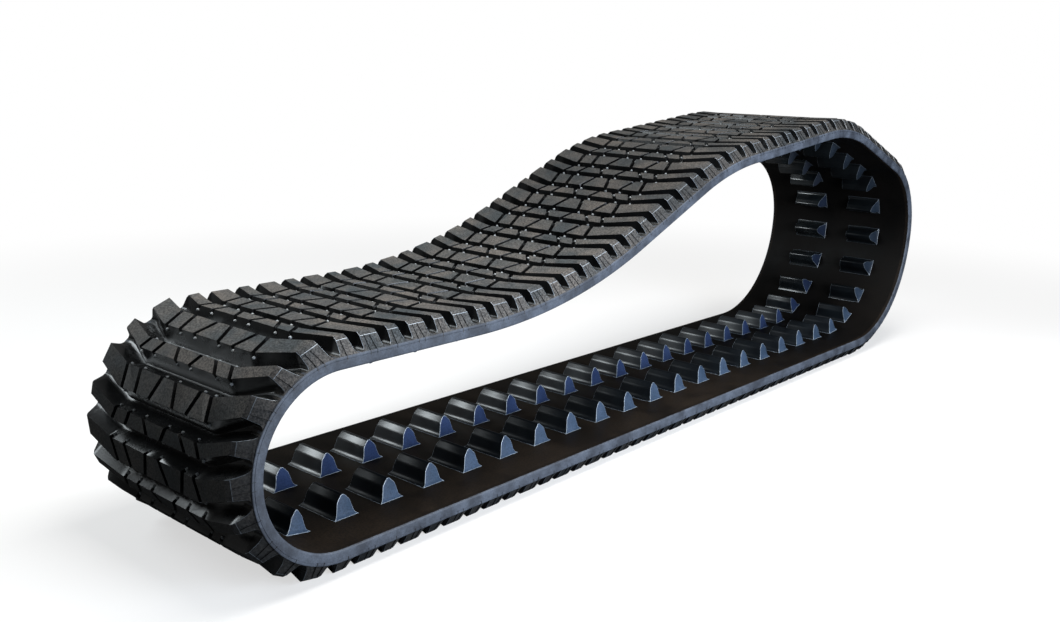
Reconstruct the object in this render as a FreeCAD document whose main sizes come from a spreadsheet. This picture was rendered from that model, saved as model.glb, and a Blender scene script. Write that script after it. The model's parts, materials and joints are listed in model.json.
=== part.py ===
import FreeCAD, Part
import math
import os
import Sketcher

# Endless rubber track for a compact track loader, lying on its tread.
# The loop is laid out in the XZ plane and is extruded across Y. The origin is on
# the ground, under the middle of the thick tread bar that starts the pitch count.
# +X runs along the ground towards the tall rear bend, +Z is up.

os.makedirs("parts", exist_ok=True)
doc = FreeCAD.newDocument("rubber_track")

# ---------------------------------------------------------------- sizes, in mm
driving_sizes = [
    ("lug_pitch", 101.6, "distance from one drive lug to the next along the cords"),
    ("lug_count", 51, "drive lugs in a row, and thick tread bars"),
    ("track_width", 457.2, "across the belt"),
    ("belt_thickness", 21.0, "from the running side to the foot of the tread"),
    ("cord_depth", 9.0, "cord line below the running side; its length never changes"),
    ("bond_gap", 0.3, "room left at each vulcanised joint line"),
    ("front_reach", 1137.6, "origin to the running side of the front bend"),
    ("front_rise", 295.0, "height inside the front bend"),
    ("front_flat", 3.0, "straight between the two halves of the front bend"),
    ("heel_radius", 283.0, "rear bend where it leaves the ground"),
    ("rear_flat", 11.0, "straight between the heel and the shoulder of the rear bend"),
    ("shoulder_rise", 417.0, "corner over the rear bend, above the running side"),
    ("shoulder_lean", 40.0, "how far that corner hangs out behind the heel corner"),
    ("hump_reach", 724.4, "origin to the corner of the hump"),
    ("hump_rise", 595.0, "its height above the running side"),
    ("hump_radius", 492.0, "bend of the hump"),
    ("knee_reach", 121.4, "origin to the corner where the top run starts to fall"),
    ("knee_rise", 531.0, "its height above the running side"),
    ("knee_radius", 755.0, "bend of the knee"),
    ("dip_reach", 439.6, "origin to the corner of the dip, forwards"),
    ("dip_radius", 1237.0, "hollow bend of the dip"),
    ("inner_cover_thickness", 6.4, "rubber between the running side and the cords"),
    ("outer_cover_thickness", 5.8, "rubber between the plies and the tread"),
    ("edge_strip_width", 12.0, "rubber beside the cords at each edge"),
    ("cord_diameter", 4.5, "endless steel tension cord"),
    ("cord_count", 20, "cords side by side"),
    ("ply_thickness", 1.5, "one bias ply"),
    ("ply_edge_margin", 1.0, "ply edge to edge strip"),
    ("cord_edge_margin", 12.0, "outermost cord to ply edge"),
    ("lug_height", 39.0, "drive lug above the running side"),
    ("lug_length", 93.5, "across the belt, at the foot"),
    ("lug_row_gap", 80.0, "wheel path between the two rows of lugs"),
    ("lug_foot_width", 52.0, "along the belt, over the flared foot"),
    ("lug_body_width", 38.0, "along the belt, just over the flare"),
    ("lug_shoulder_width", 26.0, "where the flanks turn in to the ridge"),
    ("lug_ridge_width", 7.0, "flat of the ridge"),
    ("lug_flare_height", 6.0, "height of the flared foot"),
    ("lug_shoulder_drop", 10.5, "ridge down to the turn of the flanks"),
    ("lug_end_setback", 8.0, "lean of each end face over the lug's height"),
    ("tread_height", 27.0, "tread bar above the belt"),
    ("thick_bar_foot", 53.0, "thick bar along the belt, at its foot"),
    ("groove_floor", 3.8, "groove between two bars, at its floor"),
    ("thick_bar_draft", 5.5, "lean of a thick bar's walls over the tread height"),
    ("thin_bar_draft", 8.0, "lean of a thin bar's walls over the tread height"),
    ("rake_start", 128.0, "middle of the belt to where the shoulders bend away"),
    ("shoulder_rake", 24.5, "how far a shoulder's end trails its bar"),
    ("thick_shoulder_taper", 5.0, "narrowing of a thick bar's shoulder, each side"),
    ("thin_shoulder_taper", 4.0, "narrowing of a thin bar's shoulder, each side"),
    ("bar_end_inset", 1.0, "belt edge to the foot of a shoulder"),
    ("shoulder_end", 22.6, "length of a shoulder's end, straight across the belt"),
    ("brow_width", 7.0, "chamfer between the tread face and the end face"),
    ("brow_drop", 3.0, "height of that chamfer"),
    ("shoulder_ledge", 1.0, "step at the foot of the end face"),
    ("foot_allowance", 4.0, "bar stock below its foot, trimmed to the bent belt"),
    ("sipe_width", 5.5, "slot that parts two blocks of a bar"),
    ("sipe_depth", 11.0, "slot depth from the tread face"),
    ("sipe_outer", 124.0, "middle of the belt to the outer slots"),
    ("sipe_middle", 82.0, "middle of the belt to the next slots"),
    ("sipe_inner", 27.0, "middle of the belt to the inner slots"),
    ("ground_touch", 0.01, "a bar that would dip further is pressed flat by the ground"),
    ("flex_gap", 1.4, "break in the covers at a flex line"),
    ("parting_gap", 2.4, "break in the covers where the loop is left open"),
]
# How far each slot climbs towards +Y over the width of its bar's face.
thick_slants = {"outer": -12.0, "middle": -12.0, "inner": 11.0,
                "inner_near": -18.0, "middle_near": 12.0, "outer_near": -12.0}
thin_slants = {"outer": 10.0, "middle": 8.0, "inner": -15.0,
               "inner_near": 10.0, "middle_near": -20.0, "outer_near": -15.0}
for slot, slant in thick_slants.items():
    driving_sizes.append(("thick_slant_" + slot, slant, "slant of that slot in a thick bar"))
for slot, slant in thin_slants.items():
    driving_sizes.append(("thin_slant_" + slot, slant, "slant of that slot in a thin bar"))

# Stretches of the loop between two flex lines. Tread bars are counted from the
# origin along the ground and up round the rear bend: even bars are thick, odd
# bars are thin. A stretch runs from the groove after its first number to the
# groove after its last one.
stretches = {
    "ground_run": (-21, 18),
    "rear_bend": (18, 30),
    "crown_rear": (30, 42),
    "crown_front": (42, 54),
    "dip": (54, 67),
    "front_bend": (67, 81),
}
parting_groove = 42

sheet = doc.addObject("Spreadsheet::Sheet", "Sizes")
for row, (alias, value, note) in enumerate(driving_sizes, start=1):
    sheet.set("A%d" % row, alias)
    sheet.set("B%d" % row, str(value))
    sheet.set("C%d" % row, note)
    sheet.setAlias("B%d" % row, alias)
doc.recompute()


class Size:
    """Reads a driving dimension from the sheet by its alias."""

    def __getattr__(self, alias):
        return float(getattr(sheet, alias))


size = Size()
lug_count = int(size.lug_count)
bar_count = 2 * lug_count
half_width = size.track_width / 2
cord_height = size.tread_height + size.belt_thickness - size.cord_depth
running_side = size.tread_height + size.belt_thickness
thin_bar_foot = size.lug_pitch - size.thick_bar_foot - 2 * size.groove_floor
cover_half_width = half_width - size.edge_strip_width
to_ply = size.cord_depth + size.cord_diameter / 2 + size.bond_gap


# ------------------------------------------------------------ path of the loop
def loop_corners(rear_reach):
    """Corners of the running side and their bend radii, seen from -Y, anticlockwise."""
    front_radius = (size.front_rise - size.front_flat) / 2
    heel = (rear_reach, running_side)
    shoulder = (rear_reach + size.shoulder_lean, running_side + size.shoulder_rise)
    hump = (size.hump_reach, running_side + size.hump_rise)
    span = math.dist(heel, shoulder)
    wall = math.atan2(shoulder[1] - heel[1], shoulder[0] - heel[0])
    crown = math.atan2(hump[1] - shoulder[1], hump[0] - shoulder[0])
    heel_run = size.heel_radius * math.tan(wall / 2)
    shoulder_radius = (span - heel_run - size.rear_flat) / math.tan((crown - wall) / 2)
    front_top = running_side + size.front_rise
    return [
        (heel, size.heel_radius),
        (shoulder, shoulder_radius),
        (hump, size.hump_radius),
        ((size.knee_reach, running_side + size.knee_rise), size.knee_radius),
        ((-size.dip_reach, front_top), size.dip_radius),
        ((-size.front_reach, front_top), front_radius),
        ((-size.front_reach, running_side), front_radius),
    ]


def loop_runs(rear_reach):
    """The running side as straight runs and arcs, from over the origin and back to it.

    Each run is its start point, heading, length, and turn (0 on a straight run).
    """
    corners = loop_corners(rear_reach)
    points = [corner for corner, radius in corners]
    runs = []
    place = (0.0, running_side)
    for index, (corner, radius) in enumerate(corners):
        before = points[index - 1]
        after = points[(index + 1) % len(points)]
        heading = math.atan2(corner[1] - before[1], corner[0] - before[0])
        leaving = math.atan2(after[1] - corner[1], after[0] - corner[0])
        turn = math.remainder(leaving - heading, 2 * math.pi)
        reach = radius * math.tan(abs(turn) / 2)
        bend_start = (corner[0] - reach * math.cos(heading), corner[1] - reach * math.sin(heading))
        runs.append((place, heading, math.dist(place, bend_start), 0.0))
        runs.append((bend_start, heading, radius * abs(turn), turn))
        place = (corner[0] + reach * math.cos(leaving), corner[1] + reach * math.sin(leaving))
    runs.append((place, 0.0, math.dist(place, (0.0, running_side)), 0.0))
    return runs


def length_at(run, depth):
    """Length of a run at a depth into the belt, measured from the running side."""
    place, heading, length, turn = run
    return length + depth * turn


def cord_length(rear_reach):
    return sum(length_at(run, size.cord_depth) for run in loop_runs(rear_reach))


def solve_rear_reach():
    """Rear reach at which the cord line is a whole number of pitches long."""
    wanted = size.lug_pitch * lug_count
    low = size.hump_reach + size.heel_radius
    high = low + wanted / 2
    for halving in range(60):
        middle = (low + high) / 2
        if cord_length(middle) < wanted:
            low = middle
        else:
            high = middle
    return (low + high) / 2


runs = loop_runs(solve_rear_reach())


def point_on(run, along, depth):
    """Point and heading at a share of a run (0 to 1), at a depth into the belt."""
    place, heading, length, turn = run
    angle = heading + turn * along
    x, z = place
    if turn:
        radius = length / turn
        x += radius * (math.sin(angle) - math.sin(heading))
        z += radius * (math.cos(heading) - math.cos(angle))
    else:
        x += length * along * math.cos(heading)
        z += length * along * math.sin(heading)
    return x + depth * math.sin(angle), z - depth * math.cos(angle), angle


def place_at(distance):
    """Placement that moves the stock over the origin to a distance along the cords."""
    left = distance % (size.lug_pitch * lug_count)
    for run in runs:
        length = length_at(run, size.cord_depth)
        if left <= length:
            break
        left -= length
    x, z, angle = point_on(run, left / length, size.cord_depth)
    turned = FreeCAD.Rotation(FreeCAD.Vector(0, -1, 0), math.degrees(angle))
    moved = FreeCAD.Placement(FreeCAD.Vector(x, 0, z), turned)
    return moved * FreeCAD.Placement(FreeCAD.Vector(0, 0, -cord_height), FreeCAD.Rotation())


def loop_geometry(depth):
    """Lines and arcs of the whole loop at a depth, in X and Z."""
    shapes = []
    for run in runs:
        x0, z0, start_angle = point_on(run, 0, depth)
        x1, z1, end_angle = point_on(run, 1, depth)
        start = FreeCAD.Vector(x0, z0, 0)
        end = FreeCAD.Vector(x1, z1, 0)
        if run[3]:
            xm, zm, angle = point_on(run, 0.5, depth)
            shapes.append(Part.Arc(start, FreeCAD.Vector(xm, zm, 0), end))
        else:
            shapes.append(Part.LineSegment(start, end))
    return shapes


# ------------------------------------------------------------- document helpers
def origin_plane(body, role):
    return [part for part in body.Origin.OriginFeatures if part.Role == role][0]


def new_sketch(body, name, role):
    sketch = body.newObject("Sketcher::SketchObject", name)
    sketch.AttachmentSupport = [(origin_plane(body, role), "")]
    sketch.MapMode = "FlatFace"
    return sketch


def evaluate(expression):
    """Number that an expression on the sheet stands for, to start a sketch from."""
    names = {alias: value for alias, value, note in driving_sizes}
    for alias in sorted(names, key=len, reverse=True):
        expression = expression.replace("Sizes." + alias, "(%r)" % names[alias])
    return sheet.evalExpression(expression)


def add_polygon(sketch, corners):
    """Closed outline whose corners are expressions on the sheet."""
    first = sketch.GeometryCount
    points = [FreeCAD.Vector(evaluate(x), evaluate(y), 0) for x, y in corners]
    count = len(points)
    for index in range(count):
        sketch.addGeometry(Part.LineSegment(points[index], points[(index + 1) % count]))
    for index in range(count):
        following = first + (index + 1) % count
        sketch.addConstraint(Sketcher.Constraint("Coincident", first + index, 2, following, 1))
    for index, corner in enumerate(corners):
        for kind, expression, number in (("DistanceX", corner[0], points[index].x),
                                         ("DistanceY", corner[1], points[index].y)):
            line = first + index
            made = sketch.addConstraint(Sketcher.Constraint(kind, -1, 1, line, 1, number))
            sketch.setExpression("Constraints[%d]" % made, expression)


def add_feature(body, kind, name, sketch, **settings):
    """Pad or pocket of a sketch; text settings are bound as expressions."""
    feature = body.newObject("PartDesign::" + kind, name)
    feature.Profile = sketch
    for setting, value in settings.items():
        if isinstance(value, str):
            feature.setExpression(setting, value)
        else:
            setattr(feature, setting, value)
    return feature


def add_part(label, solids):
    """Finished sub-part; its label names its node and its file."""
    part = doc.addObject("Part::Feature", label)
    part.Label = label
    part.Shape = solids[0] if len(solids) == 1 else Part.makeCompound(solids)
    part.Placement = FreeCAD.Placement()
    finished.append(part)
    return part


finished = []


# ---------------------------------------------------------------- belt, endless
def endless_layer(name, top_depth, bottom_depth, width, offset="0"):
    """Endless flat band between two depths; width and offset are expressions."""
    body = doc.addObject("PartDesign::Body", name)
    sketch = new_sketch(body, name + "_outline", "XZ_Plane")
    sketch.setExpression("AttachmentOffset.Base.z", offset)
    sketch.addGeometry(loop_geometry(top_depth))
    sketch.addGeometry(loop_geometry(bottom_depth))
    add_feature(body, "Pad", name + "_band", sketch, Midplane=True, Length=width)
    doc.recompute()
    return body


cover_width = "Sizes.track_width - 2 * Sizes.edge_strip_width"
strip_offset = "(Sizes.track_width - Sizes.edge_strip_width) / 2"
outer_cover_top = size.belt_thickness - size.outer_cover_thickness
inner_stock = endless_layer("inner_cover_stock", 0, size.inner_cover_thickness, cover_width)
outer_stock = endless_layer("outer_cover_stock", outer_cover_top, size.belt_thickness, cover_width)
near_stock = endless_layer("edge_near_stock", 0, size.belt_thickness,
                           "Sizes.edge_strip_width", strip_offset)
far_stock = endless_layer("edge_far_stock", 0, size.belt_thickness,
                          "Sizes.edge_strip_width", "-" + strip_offset)
envelope = endless_layer("bonded_envelope", -size.bond_gap, size.belt_thickness + size.bond_gap,
                         "2 * Sizes.track_width").Shape

ply_width = cover_width + " - 2 * Sizes.ply_edge_margin"
for index, name in enumerate(("inner_bias_ply", "outer_bias_ply")):
    top = to_ply + index * (size.ply_thickness + size.bond_gap)
    ply = endless_layer(name + "_stock", top, top + size.ply_thickness, ply_width)
    add_part(name, [ply.Shape])


def tension_cord(across):
    """One endless round cord on the cord line."""
    path = Part.Wire([piece.toShape() for piece in loop_geometry(size.cord_depth)])
    path.rotate(FreeCAD.Vector(), FreeCAD.Vector(1, 0, 0), 90)
    path.translate(FreeCAD.Vector(0, across, 0))
    start = FreeCAD.Vector(0, across, cord_height)
    ring = Part.Wire([Part.makeCircle(size.cord_diameter / 2, start, FreeCAD.Vector(1, 0, 0))])
    return Part.makeSolid(path.makePipeShell([ring], False, False))


cord_reach = cover_half_width - size.ply_edge_margin - size.cord_edge_margin
cord_spacing = 2 * cord_reach / (int(size.cord_count) - 1)
cords = [tension_cord(-cord_reach + index * cord_spacing) for index in range(int(size.cord_count))]
add_part("tension_cords", cords)


# ------------------------------------------------- covers, parted at flex lines
def groove_distance(bar):
    """Distance along the cords to the middle of the groove after a bar."""
    foot = thin_bar_foot if bar % 2 else size.thick_bar_foot
    return bar * size.lug_pitch / 2 + (foot + size.groove_floor) / 2


def flex_break(bar):
    """Thin wall of air along a groove, bent back at both shoulders as the bars are."""
    gap = size.parting_gap if bar == parting_groove else size.flex_gap
    raked = half_width - size.bar_end_inset - size.shoulder_end
    past_edge = half_width + size.bar_end_inset
    middle_line = [(-size.shoulder_rake, -past_edge), (-size.shoulder_rake, -raked),
                   (0, -size.rake_start), (0, size.rake_start),
                   (-size.shoulder_rake, raked), (-size.shoulder_rake, past_edge)]
    front = [FreeCAD.Vector(x - gap / 2, y, 0) for x, y in middle_line]
    back = [FreeCAD.Vector(x + gap / 2, y, 0) for x, y in reversed(middle_line)]
    outline = Part.makePolygon(front + back + front[:1])
    wall = Part.Face(outline).extrude(FreeCAD.Vector(0, 0, 2 * size.belt_thickness))
    wall.translate(FreeCAD.Vector(0, 0, cord_height - size.belt_thickness))
    wall.Placement = place_at(groove_distance(bar)) * wall.Placement
    return wall


flex_breaks = [flex_break(last) for first, last in stretches.values()]


def stretch_middle(name):
    first, last = stretches[name]
    distance = (groove_distance(first) + groove_distance(last)) / 2
    return place_at(distance).multVec(FreeCAD.Vector(0, 0, cord_height))


def part_at_flex_lines(prefix, stock):
    """Cuts an endless cover at every flex line and names each length by its stretch."""
    lengths = stock.Shape.cut(flex_breaks).Solids
    across = FreeCAD.Vector(0, stock.Shape.BoundBox.Center.y, 0)
    for name in stretches:
        middle = Part.Vertex(stretch_middle(name) + across)
        nearest = min(lengths, key=lambda solid: solid.distToShape(middle)[0])
        add_part(prefix + "_" + name, [nearest])


part_at_flex_lines("inner_cover", inner_stock)
part_at_flex_lines("outer_cover", outer_stock)
part_at_flex_lines("edge_strip_near", near_stock)
part_at_flex_lines("edge_strip_far", far_stock)


# ------------------------------------------------------------------ drive lugs
def make_lug():
    """Drive lug of the near row, over the origin: gothic section, leaning end faces."""
    base = "(Sizes.tread_height + Sizes.belt_thickness)"
    top = base + " + Sizes.lug_height"
    flare_x = "(Sizes.lug_body_width + Sizes.lug_foot_width) / 4 - Sizes.lug_flare_height / 5"
    right = [
        ("Sizes.lug_foot_width / 2", base + " - Sizes.foot_allowance / 2"),
        ("Sizes.lug_foot_width / 2", base + " + Sizes.lug_flare_height / 6"),
        (flare_x, base + " + Sizes.lug_flare_height / 3"),
        ("Sizes.lug_body_width / 2", base + " + Sizes.lug_flare_height"),
        ("Sizes.lug_shoulder_width / 2", top + " - Sizes.lug_shoulder_drop"),
        ("Sizes.lug_ridge_width / 2", top),
    ]
    left = [("-(" + x + ")", z) for x, z in reversed(right)]
    body = doc.addObject("PartDesign::Body", "drive_lug_stock")
    section = new_sketch(body, "drive_lug_section", "XZ_Plane")
    section.setExpression("AttachmentOffset.Base.z", "Sizes.lug_row_gap / 2")
    add_polygon(section, right + left)
    add_feature(body, "Pad", "drive_lug_pad", section, Length="Sizes.lug_length")
    ends = new_sketch(body, "drive_lug_ends", "YZ_Plane")
    outer = "-(Sizes.lug_row_gap / 2 + Sizes.lug_length)"
    inner = "-Sizes.lug_row_gap / 2"
    over = top + " + Sizes.foot_allowance"
    add_polygon(ends, [(outer, base), (outer + " + Sizes.lug_end_setback", top),
                       (outer + " + Sizes.lug_end_setback", over),
                       (outer + " - Sizes.lug_end_setback", over),
                       (outer + " - Sizes.lug_end_setback", base)])
    add_polygon(ends, [(inner, base), (inner + " - Sizes.lug_end_setback", top),
                       (inner + " - Sizes.lug_end_setback", over),
                       (inner + " + Sizes.lug_end_setback", over),
                       (inner + " + Sizes.lug_end_setback", base)])
    add_feature(body, "Pocket", "drive_lug_end_cut", ends, Midplane=True,
                Length="4 * Sizes.lug_foot_width")
    doc.recompute()
    return body.Shape


# ------------------------------------------------------------------ tread bars
def make_bar(kind, foot):
    """Tread bar under the origin: raked shoulders, leaning walls, six slanted slots."""
    belt = "Sizes.tread_height"
    draft = "Sizes.%s_bar_draft" % kind
    edge_y = "(Sizes.track_width / 2 - Sizes.bar_end_inset)"
    raked_y = "(%s - Sizes.shoulder_end)" % edge_y
    half_foot = "(%s) / 2" % foot
    half_end = "(%s - Sizes.%s_shoulder_taper)" % (half_foot, kind)
    lead = half_end + " - Sizes.shoulder_rake"
    trail = "-%s - Sizes.shoulder_rake" % half_end
    body = doc.addObject("PartDesign::Body", kind + "_bar_stock")
    plan = new_sketch(body, kind + "_bar_plan", "XY_Plane")
    plan.setExpression("AttachmentOffset.Base.z", belt)
    add_polygon(plan, [(lead, "-" + edge_y), (lead, "-" + raked_y),
                       (half_foot, "-Sizes.rake_start"), (half_foot, "Sizes.rake_start"),
                       (lead, raked_y), (lead, edge_y),
                       (trail, edge_y), (trail, raked_y),
                       ("-" + half_foot, "Sizes.rake_start"),
                       ("-" + half_foot, "-Sizes.rake_start"),
                       (trail, "-" + raked_y), (trail, "-" + edge_y)])
    add_feature(body, "Pad", kind + "_bar_pad", plan, Reversed=True, Length=belt,
                TaperAngle="-atan(%s / Sizes.tread_height)" % draft)
    add_feature(body, "Pad", kind + "_bar_foot", plan, Length="Sizes.foot_allowance")
    ends = new_sketch(body, kind + "_bar_ends", "YZ_Plane")
    ledge = "(%s - Sizes.shoulder_ledge)" % edge_y
    brow = "(%s + Sizes.brow_width)" % raked_y
    beyond = "Sizes.track_width / 2 + Sizes.shoulder_end"
    for side in ("", "-"):
        corners = [(raked_y, "0"), (brow, "Sizes.brow_drop"), (ledge, belt),
                   (beyond, belt), (beyond, "0")]
        add_polygon(ends, [(side + "(" + y + ")", z) for y, z in corners])
    add_feature(body, "Pocket", kind + "_bar_end_cut", ends, Midplane=True,
                Length="4 * Sizes.lug_pitch")
    slots = new_sketch(body, kind + "_bar_slots", "XY_Plane")
    face = "((%s) - 2 * %s)" % (foot, draft)
    for slot in ("outer", "middle", "inner", "inner_near", "middle_near", "outer_near"):
        side = "-" if slot.endswith("near") else ""
        middle = side + "Sizes.sipe_" + slot.replace("_near", "")
        climb = "Sizes.%s_slant_%s * Sizes.lug_pitch / 2 / %s" % (kind, slot, face)
        wide = "Sizes.sipe_width / 2"
        reach = "Sizes.lug_pitch / 2"
        add_polygon(slots, [("-" + reach, "%s - %s - %s" % (middle, climb, wide)),
                            (reach, "%s + %s - %s" % (middle, climb, wide)),
                            (reach, "%s + %s + %s" % (middle, climb, wide)),
                            ("-" + reach, "%s - %s + %s" % (middle, climb, wide))])
    add_feature(body, "Pocket", kind + "_bar_slot_cut", slots, Reversed=True,
                Length="Sizes.sipe_depth")
    doc.recompute()
    return body.Shape


# --------------------------------------------------- one set for every stretch
# The ground flattens the bars that rest on it where the belt starts to rise.
def trimmed(stock, bar, across=0.0):
    """Stock moved to a bar's place along the belt, with its foot cut to the belt."""
    solid = stock.copy()
    solid.translate(FreeCAD.Vector(0, across, 0))
    solid.Placement = place_at(bar * size.lug_pitch / 2) * solid.Placement
    solid = solid.cut(envelope)
    if solid.BoundBox.ZMin < -size.ground_touch:
        solid = solid.cut(ground)
    return solid.Solids[0]


loop_reach = size.lug_pitch * lug_count / 2
ground = Part.makeBox(2 * loop_reach, 2 * size.track_width, size.tread_height)
ground.translate(FreeCAD.Vector(-loop_reach, -size.track_width, -size.tread_height))
lug_stock = make_lug()
thick_stock = make_bar("thick", "Sizes.thick_bar_foot")
thin_foot = "(Sizes.lug_pitch - Sizes.thick_bar_foot - 2 * Sizes.groove_floor)"
thin_stock = make_bar("thin", thin_foot)
row_spacing = size.lug_row_gap + size.lug_length
for name, (first, last) in stretches.items():
    bars = range(first + 1, last + 1)
    thick_bars = [bar for bar in bars if bar % 2 == 0]
    thin_bars = [bar for bar in bars if bar % 2]
    add_part("drive_lugs_near_" + name, [trimmed(lug_stock, bar) for bar in thick_bars])
    add_part("drive_lugs_far_" + name, [trimmed(lug_stock, bar, row_spacing) for bar in thick_bars])
    add_part("thick_bars_" + name, [trimmed(thick_stock, bar) for bar in thick_bars])
    add_part("thin_bars_" + name, [trimmed(thin_stock, bar) for bar in thin_bars])

# ------------------------------------------------------------- checks and files
doc.recompute()
for item in doc.Objects:
    if "Invalid" in item.State or "Error" in item.State:
        raise RuntimeError(item.Label + " failed to build")
for part in finished:
    if part.Shape.isNull() or not part.Shape.isValid():
        raise RuntimeError(part.Label + " has a bad shape")
    part.Shape.exportStep("parts/" + part.Label + ".step")
box = Part.makeCompound([part.Shape for part in finished]).BoundBox
print("nodes", len(finished), "size %.1f x %.1f x %.1f" % (box.XLength, box.YLength, box.ZLength))
print("lowest %.2f, x from %.1f to %.1f" % (box.ZMin, box.XMin, box.XMax))
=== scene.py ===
import bmesh
import bpy
import json
import math
from mathutils import Matrix, Vector
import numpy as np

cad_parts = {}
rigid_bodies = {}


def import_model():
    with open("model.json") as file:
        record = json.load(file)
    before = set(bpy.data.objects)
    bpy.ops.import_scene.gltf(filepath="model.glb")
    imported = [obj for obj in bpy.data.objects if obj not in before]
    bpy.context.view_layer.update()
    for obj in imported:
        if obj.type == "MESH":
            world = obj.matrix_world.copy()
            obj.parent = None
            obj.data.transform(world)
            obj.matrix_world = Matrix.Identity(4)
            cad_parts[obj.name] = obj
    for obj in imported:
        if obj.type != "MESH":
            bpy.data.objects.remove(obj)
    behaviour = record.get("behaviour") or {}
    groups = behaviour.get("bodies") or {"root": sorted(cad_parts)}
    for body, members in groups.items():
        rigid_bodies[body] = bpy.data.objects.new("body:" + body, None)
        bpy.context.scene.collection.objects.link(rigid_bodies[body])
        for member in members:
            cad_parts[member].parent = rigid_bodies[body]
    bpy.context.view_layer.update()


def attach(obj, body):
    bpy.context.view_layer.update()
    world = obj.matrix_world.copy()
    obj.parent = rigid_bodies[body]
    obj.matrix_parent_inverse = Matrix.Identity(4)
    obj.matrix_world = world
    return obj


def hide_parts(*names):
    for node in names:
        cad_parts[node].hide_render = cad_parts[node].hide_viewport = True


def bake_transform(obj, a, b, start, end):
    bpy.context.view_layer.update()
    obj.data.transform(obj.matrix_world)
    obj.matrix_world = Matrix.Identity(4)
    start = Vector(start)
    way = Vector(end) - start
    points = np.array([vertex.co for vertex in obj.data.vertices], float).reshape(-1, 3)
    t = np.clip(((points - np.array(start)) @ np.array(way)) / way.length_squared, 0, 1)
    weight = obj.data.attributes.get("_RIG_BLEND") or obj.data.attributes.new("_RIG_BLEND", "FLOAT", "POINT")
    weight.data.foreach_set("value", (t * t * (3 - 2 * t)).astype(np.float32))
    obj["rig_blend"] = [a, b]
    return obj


for leftOver in list(bpy.data.objects):
    bpy.data.objects.remove(leftOver)
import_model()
print("frame loaded")

loop = {  # the belt's run, in metres, as the frame was made
    "pitch": 0.1016, "pitches": 51, "width": 0.4572, "thickness": 0.021, "cordDepth": 0.009,
    "treadHeight": 0.027,
    "frontReach": 1.1376, "frontRise": 0.295, "frontFlat": 0.003,
    "heelRadius": 0.283, "rearFlat": 0.011, "shoulderRise": 0.417, "shoulderLean": 0.040,
    "humpReach": 0.7244, "humpRise": 0.595, "humpRadius": 0.492,
    "kneeReach": 0.1214, "kneeRise": 0.531, "kneeRadius": 0.755,
    "dipReach": 0.4396, "dipRadius": 1.237,
}
treadFoot = loop["treadHeight"]
runningSide = treadFoot + loop["thickness"]
cordLine = runningSide - loop["cordDepth"]
loopLength = loop["pitch"] * loop["pitches"]
halfWidth = loop["width"] / 2
hairline = 0.0001  # how near counts as lying in a surface


def loopRuns(rearReach):
    # straight runs and arcs of the running side: place, heading, length and turn
    frontRadius = (loop["frontRise"] - loop["frontFlat"]) / 2
    heel = (rearReach, runningSide)
    shoulder = (rearReach + loop["shoulderLean"], runningSide + loop["shoulderRise"])
    hump = (loop["humpReach"], runningSide + loop["humpRise"])
    knee = (loop["kneeReach"], runningSide + loop["kneeRise"])
    frontTop = runningSide + loop["frontRise"]
    wall = math.atan2(shoulder[1] - heel[1], shoulder[0] - heel[0])
    crown = math.atan2(hump[1] - shoulder[1], hump[0] - shoulder[0])
    left = math.dist(heel, shoulder) - loop["heelRadius"] * math.tan(wall / 2) - loop["rearFlat"]
    corners = [
        (heel, loop["heelRadius"]),
        (shoulder, left / math.tan((crown - wall) / 2)),
        (hump, loop["humpRadius"]),
        (knee, loop["kneeRadius"]),
        ((-loop["dipReach"], frontTop), loop["dipRadius"]),
        ((-loop["frontReach"], frontTop), frontRadius),
        ((-loop["frontReach"], runningSide), frontRadius),
    ]
    points = [corner for corner, radius in corners]
    runs = []
    place = (0.0, runningSide)
    for index, (corner, radius) in enumerate(corners):
        before = points[index - 1]
        after = points[(index + 1) % len(points)]
        heading = math.atan2(corner[1] - before[1], corner[0] - before[0])
        leaving = math.atan2(after[1] - corner[1], after[0] - corner[0])
        turn = math.remainder(leaving - heading, 2 * math.pi)
        reach = radius * math.tan(abs(turn) / 2)
        start = (corner[0] - reach * math.cos(heading), corner[1] - reach * math.sin(heading))
        runs.append((place, heading, math.dist(place, start), 0.0))
        runs.append((start, heading, radius * abs(turn), turn))
        place = (corner[0] + reach * math.cos(leaving), corner[1] + reach * math.sin(leaving))
    runs.append((place, 0.0, math.dist(place, (0.0, runningSide)), 0.0))
    return runs


def cordLength(run):
    return run[2] + loop["cordDepth"] * run[3]


low = loop["humpReach"] + loop["heelRadius"]
high = low + loopLength / 2
for halving in range(60):  # the rear reach that makes the cords a whole number of pitches long
    middle = (low + high) / 2
    if sum(cordLength(run) for run in loopRuns(middle)) < loopLength:
        low = middle
    else:
        high = middle
runs = loopRuns(low)


def placeAt(distance):
    # moves stock from over the origin to a distance along the cords
    left = distance % loopLength
    for run in runs:
        if left <= cordLength(run):
            break
        left -= cordLength(run)
    (x, z), heading, length, turn = run
    share = left / cordLength(run)
    angle = heading + turn * share
    if turn:
        radius = length / turn
        x += radius * (math.sin(angle) - math.sin(heading))
        z += radius * (math.cos(heading) - math.cos(angle))
    else:
        x += length * share * math.cos(heading)
        z += length * share * math.sin(heading)
    x += loop["cordDepth"] * math.sin(angle)
    z -= loop["cordDepth"] * math.cos(angle)
    turned = Matrix.Rotation(angle, 4, (0, -1, 0))
    return Matrix.Translation((x, 0, z)) @ turned @ Matrix.Translation((0, 0, -cordLine))


stretches = {  # tread bars after the first number, up to the second, ride on each body
    "ground_run": (-21, 18), "rear_bend": (18, 30), "crown_rear": (30, 42),
    "crown_front": (42, 54), "dip": (54, 67), "front_bend": (67, 81),
}

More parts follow.
